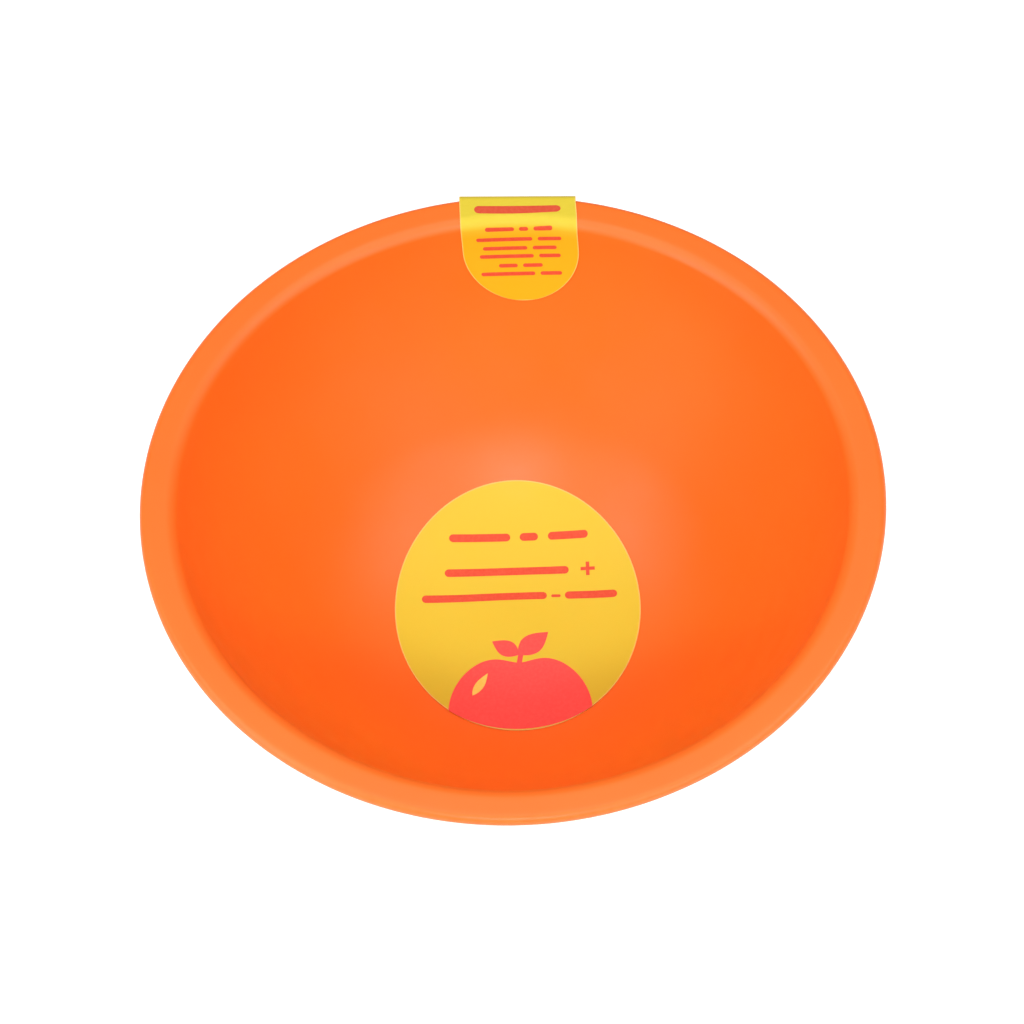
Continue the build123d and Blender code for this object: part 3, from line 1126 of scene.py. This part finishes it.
@dataclass
class RimLabel:
    """The label folded over the rim: a round-ended tongue inside, and a flap down to the wall outside."""

    bowl: Bowl
    half_width: float
    tongue: float = 25.7
    thickness: float = 0.15
    lift: float = 0.13
    outside_drop: float = 24.0
    tail: float = 4.0
    print_height: float = 0.03
    lean: float = 0.055
    tilt: float = 0.03
    sag: float = 250.0
    easing: float = 5.0
    settling: float = 1.3
    print_gap: float = 0.004
    bars: tuple[Bar, ...] = (
        Bar(-9.0, 8.8, 4.1, 1.9),
        Bar(-7.0, -1.0, 8.2, 0.9), Bar(0.0, 1.9, 8.2, 0.9), Bar(3.0, 6.9, 8.2, 0.9),
        Bar(-9.0, 2.6, 10.7, 0.9), Bar(3.7, 8.6, 10.7, 0.9),
        Bar(-7.8, 1.4, 12.9, 0.9), Bar(2.5, 7.5, 12.9, 0.9),
        Bar(-8.6, 2.6, 14.9, 0.9), Bar(3.7, 8.2, 14.9, 0.9),
        Bar(-4.8, -0.9, 17.2, 0.9), Bar(0.2, 4.3, 17.2, 0.9),
        Bar(-8.6, 2.6, 19.2, 0.9), Bar(3.7, 8.2, 19.2, 0.9),
    )

    def _normals(self, u: Array, v: Array) -> tuple[Array, Array]:
        """The surface under the tongue and its normals.

        A straight line across flat paper wraps outwards on the bowl, by the square of u times the slope's
        cosine over twice the radius, so that it stays straight on the level rim. Past the fold the tongue
        also leans to one side by a small share of its length, and its lines tilt and settle upwards.

        Args:
            u: places across the label.
            v: distances from the rim's outer edge, inwards along the section.

        Returns:
            The points on the bowl and their normals.
        """
        past = np.clip(v - self.bowl.lip / 2, 0, None)
        share = np.clip(past / self.easing, 0, 1)
        eased = share**2 * (3 - 2 * share)
        v = v - eased * (self.tilt * u + u**2 / self.sag)
        u = u + self.lean * past
        run = v - self.bowl.rim_width
        radius, _, slope = self.bowl.down_the_wall(run)
        radius, height, slope = self.bowl.down_the_wall(run - u**2 * np.cos(slope) / (2 * radius))
        away = np.sqrt(radius**2 - u**2)
        points = np.stack([u + 0 * radius, away, height], -1)
        inwards = -np.sin(slope) / radius
        return points, np.stack([inwards * u, inwards * away, np.cos(slope)], -1)

    def _in_print(self, u: Array, v: Array, lift: float) -> Array:
        """Points over the tongue, by their place on the flat label."""
        points, normals = self._normals(u, v)
        return points + lift * normals

    def _flap(self, across: Array) -> tuple[Array, Array]:
        """The flap's rows, from the fold down to its glued end.

        Its middle line is the rim's round edge moved out by the label's lift, as far as the place where a
        straight way to the wall leaves it as a tangent, and then a tail along the wall. Each row is
        straight at the fold. Further down it takes on the wall's curve, by the share of the drop that it
        has reached.

        Args:
            across: the places of each row's points.

        Returns:
            The points and their normals.
        """
        bowl = self.bowl
        half_lip = bowl.lip / 2
        edge = (bowl.rim_radius - half_lip, bowl.rim_top - half_lip)
        touch_height = bowl.rim_top - self.outside_drop
        touch, slope = bowl.outside_at(touch_height)
        touch += self.lift
        hug = half_lip + self.lift
        across_gap, drop = touch - edge[0], touch_height - edge[1]
        leave = degrees(atan2(drop, across_gap) + acos(hug / hypot(across_gap, drop)))
        chain = Section(edge[0], bowl.rim_top + self.lift, 0.8).arc(edge, hug, 90, leave)
        chain.line(touch, touch_height)
        chain.line(touch - self.tail * cos(slope), touch_height - self.tail * sin(slope))
        line = chain.points()[1:]
        along = np.gradient(line, axis=0)
        along /= np.hypot(*along.T)[:, None]
        share = np.clip((bowl.rim_top - line[:, 1]) / self.outside_drop, 0, 1)[:, None]
        sag = line[:, :1] - np.sqrt(line[:, :1] ** 2 - across**2)
        y = line[:, :1] - share**self.settling * sag
        points = np.stack([across + 0 * y, y, line[:, 1:] + 0 * y], -1)
        normals = np.stack([0 * y, -along[:, 1:] + 0 * y, along[:, :1] + 0 * y], -1)
        return points, normals

    def build(self) -> list[bpy.types.Object]:
        """Makes the label and its bars.

        The tongue's rows run from its tip to the fold. A row's half width is that of a circle near the tip,
        and the label's own half width after it.
        """
        half = self.half_width
        columns = np.sin(np.linspace(-pi / 2, pi / 2, 25))
        turn = np.linspace(0.02, pi / 2, 40)
        begin = self.tongue - half * (1 - np.cos(turn))
        stop = self.bowl.lip / 2
        v = np.r_[begin, np.linspace(self.tongue - half, stop, 60)[1:]]
        wide = np.sqrt(np.clip(half**2 - np.clip(v - self.tongue + half, 0, half) ** 2, 0, None))
        u = wide[:, None] * columns
        points, normals = self._normals(u, v[:, None] + 0 * u)
        points = points + self.lift * normals
        flap, flap_normals = self._flap(half * columns)
        tongue_inset = np.minimum(wide[:, None] - np.abs(u), self.tongue - v[:, None])
        flap_inset = np.broadcast_to(half * (1 - np.abs(columns)), flap.shape[:2])
        inset = np.concatenate([tongue_inset, flap_inset])
        middle, outwards = np.concatenate([points, flap]), np.concatenate([normals, flap_normals])
        stock = sheet(middle, outwards, self.thickness, inset)
        low = self.lift + self.thickness / 2 + self.print_gap
        high = low + self.print_height
        words = [patch(bar.outline(), [0.5, 1.0], self._in_print, low, high) for bar in self.bars]
        made = [
            piece("rim_label_film", [stock], RIM_FILM.material()),
            piece("rim_label_words", words, RUST_INK.material()),
        ]
        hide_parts(Node.RIM_LABEL.value)
        for part in made:
            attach(part, Body.BOWL.value)
        return made


# The studio -----------------------------------------------------------------------------------------------


@dataclass(frozen=True)
class Softbox:
    """A round soft lamp: the ray to it from the bowl, its diameter and its power in watts."""

    ray: Colour
    size: float
    energy: float

    def light(self, name: str) -> bpy.types.Light:
        """The lamp's light."""
        data = bpy.data.lights.new(name, "AREA")
        data.shape, data.size, data.energy = "DISK", self.size * MM, self.energy
        return data


@dataclass(frozen=True)
class Snoot:
    """A lamp with a narrow cone: the ray to it, the cone's angle in degrees, its radius and its power."""

    ray: Colour
    cone: float
    radius: float
    energy: float

    def light(self, name: str) -> bpy.types.Light:
        """The lamp's light, which fades from the middle of its cone to the edge."""
        data = bpy.data.lights.new(name, "SPOT")
        data.spot_size, data.spot_blend = radians(self.cone), 1.0
        data.shadow_soft_size, data.energy = self.radius * MM, self.energy
        return data


@dataclass
class Studio:
    """A plain pale floor, soft white light and the camera."""

    rim_top: float
    azimuth: float = 3.2
    elevation: float = 56.72
    distance: float = 716.6
    lens: float = 128.9
    roll: float = 2.78
    dip: float = 0.336
    sky: float = 0.24
    softboxes: tuple[Softbox, ...] = (
        Softbox((0.597, -0.642, 0.482), 400.0, 1.25),
        Softbox((-0.755, -0.513, 0.408), 400.0, 1.8),
        Softbox((0.62, -0.10, 0.80), 480.0, 1.55),
        Softbox((-0.62, -0.10, 0.80), 480.0, 1.45),
        Softbox((0.0, 0.15, 0.985), 460.0, 1.25),
    )
    snoot: Snoot = Snoot((0.0, -0.70, 0.70), cone=10.0, radius=90.0, energy=33.0)
    snoot_target: Colour = (0.0, 34.0, 24.0)
    lamp_distance: float = 750.0
    target_share: float = 0.4
    floor_half: float = 3.0
    floor_gap: float = 0.05

    def _camera(self) -> None:
        """Stands the camera on its ray from the middle of the rim, rolled, and dipped below that middle."""
        a, e, r, d = (radians(x) for x in (self.azimuth, self.elevation, -self.roll, self.dip))
        back = Vector((sin(a) * cos(e), -cos(a) * cos(e), sin(e)))
        right = Vector((cos(a), sin(a), 0))
        up = right.cross(-back)
        side = cos(r) * right + sin(r) * up
        over = cos(r) * up - sin(r) * right
        height = cos(d) * over - sin(d) * back
        axis = cos(d) * back + sin(d) * over
        place = (Vector((0, 0, self.rim_top)) + self.distance * back) * MM
        data = bpy.data.cameras.new("camera")
        data.lens, data.sensor_width, data.clip_start = self.lens, 36.0, 0.01
        camera = bpy.data.objects.new("camera", data)
        camera.matrix_world = Matrix.Translation(place) @ Matrix((side, height, axis)).transposed().to_4x4()
        bpy.context.scene.collection.objects.link(camera)
        bpy.context.scene.camera = camera

    def _hang(self, lamp: Softbox | Snoot, name: str, target: Vector) -> bpy.types.Object:
        """Hangs a lamp on its ray from a target in millimetres, facing it."""
        hung = bpy.data.objects.new(name, lamp.light(name))
        away = Vector(lamp.ray).normalized()
        hung.location = away * self.lamp_distance * MM + target * MM
        hung.rotation_euler = away.to_track_quat("Z", "Y").to_euler()
        bpy.context.scene.collection.objects.link(hung)
        return hung

    def _lamps(self) -> None:
        """Hangs the softboxes round the bowl, and the snoot that lights the floor inside it."""
        middle = Vector((0, 0, self.rim_top * self.target_share))
        for index, softbox in enumerate(self.softboxes):
            self._hang(softbox, f"softbox_{index}", middle).visible_camera = False
        self._hang(self.snoot, "snoot", Vector(self.snoot_target))

    def _floor(self) -> None:
        """Lays the floor just under the object: one wide pale sheet with a barely uneven paint."""
        half, height = self.floor_half, -self.floor_gap * MM
        corners = [(-half, -half), (half, -half), (half, half), (-half, half)]
        mesh = bpy.data.meshes.new("studio_floor")
        mesh.from_pydata([(x, y, height) for x, y in corners], [], [(0, 1, 2, 3)])
        shading = Shading("studio_paint")
        shading.colour(shading.mix(shading.noise(60, 2), (0.93, 0.93, 0.93), (0.95, 0.95, 0.95)))
        shading.fix(Roughness=0.9, Specular_IOR_Level=0.1)
        shading.fix(Emission_Color=(1.0, 1.0, 1.0), Emission_Strength=0.35)
        mesh.materials.append(shading.material)
        floor = bpy.data.objects.new("studio_floor", mesh)
        bpy.context.scene.collection.objects.link(floor)

    def build(self) -> None:
        """Sets up the floor, the light from all round, the lamps and the camera."""
        scene = bpy.context.scene
        scene.view_settings.view_transform = "Standard"
        world = bpy.data.worlds.new("studio")
        world.use_nodes = True
        background = next(node for node in world.node_tree.nodes if node.type == "BACKGROUND")
        background.inputs["Color"].default_value = (1.0, 1.0, 1.0, 1.0)
        background.inputs["Strength"].default_value = self.sky
        scene.world = world
        self._floor()
        self._lamps()
        self._camera()


def millimetres(node: Node) -> tuple[Vector, Vector]:
    """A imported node's lowest and highest corners, in millimetres."""
    low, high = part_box(node.value)
    return low / MM, high / MM


def main() -> None:
    """Builds every piece on the frame, then the studio."""
    logging.basicConfig(level=logging.INFO, format="%(name)s: %(message)s")
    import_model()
    bowl_low, bowl_high = millimetres(Node.BOWL)
    hub_low, hub_high = millimetres(Node.HUB)
    cup_high = millimetres(Node.CUP)[1]
    tab_low, tab_high = millimetres(Node.TAB)
    label_high = millimetres(Node.RIM_LABEL)[1]
    bowl = Bowl(rim_radius=bowl_high.x, rim_top=bowl_high.z, foot_bottom=bowl_low.z)
    hub = Hub(flange_radius=hub_high.x, bottom=hub_low.z, plug_top=hub_high.z)
    cup = SuctionCup(radius=cup_high.x, top=cup_high.z)
    tab = ReleaseTab(tip=tab_high.y, width=tab_high.x - tab_low.x, bottom=tab_low.z)
    made = [bowl.build(), hub.build(), cup.build(), tab.build()]
    made += FloorLabel(bowl).build()
    made += RimLabel(bowl, half_width=label_high.x).build()
    for one in made:
        report(one)
    Studio(rim_top=bowl_high.z).build()


if __name__ == "__main__":
    main()
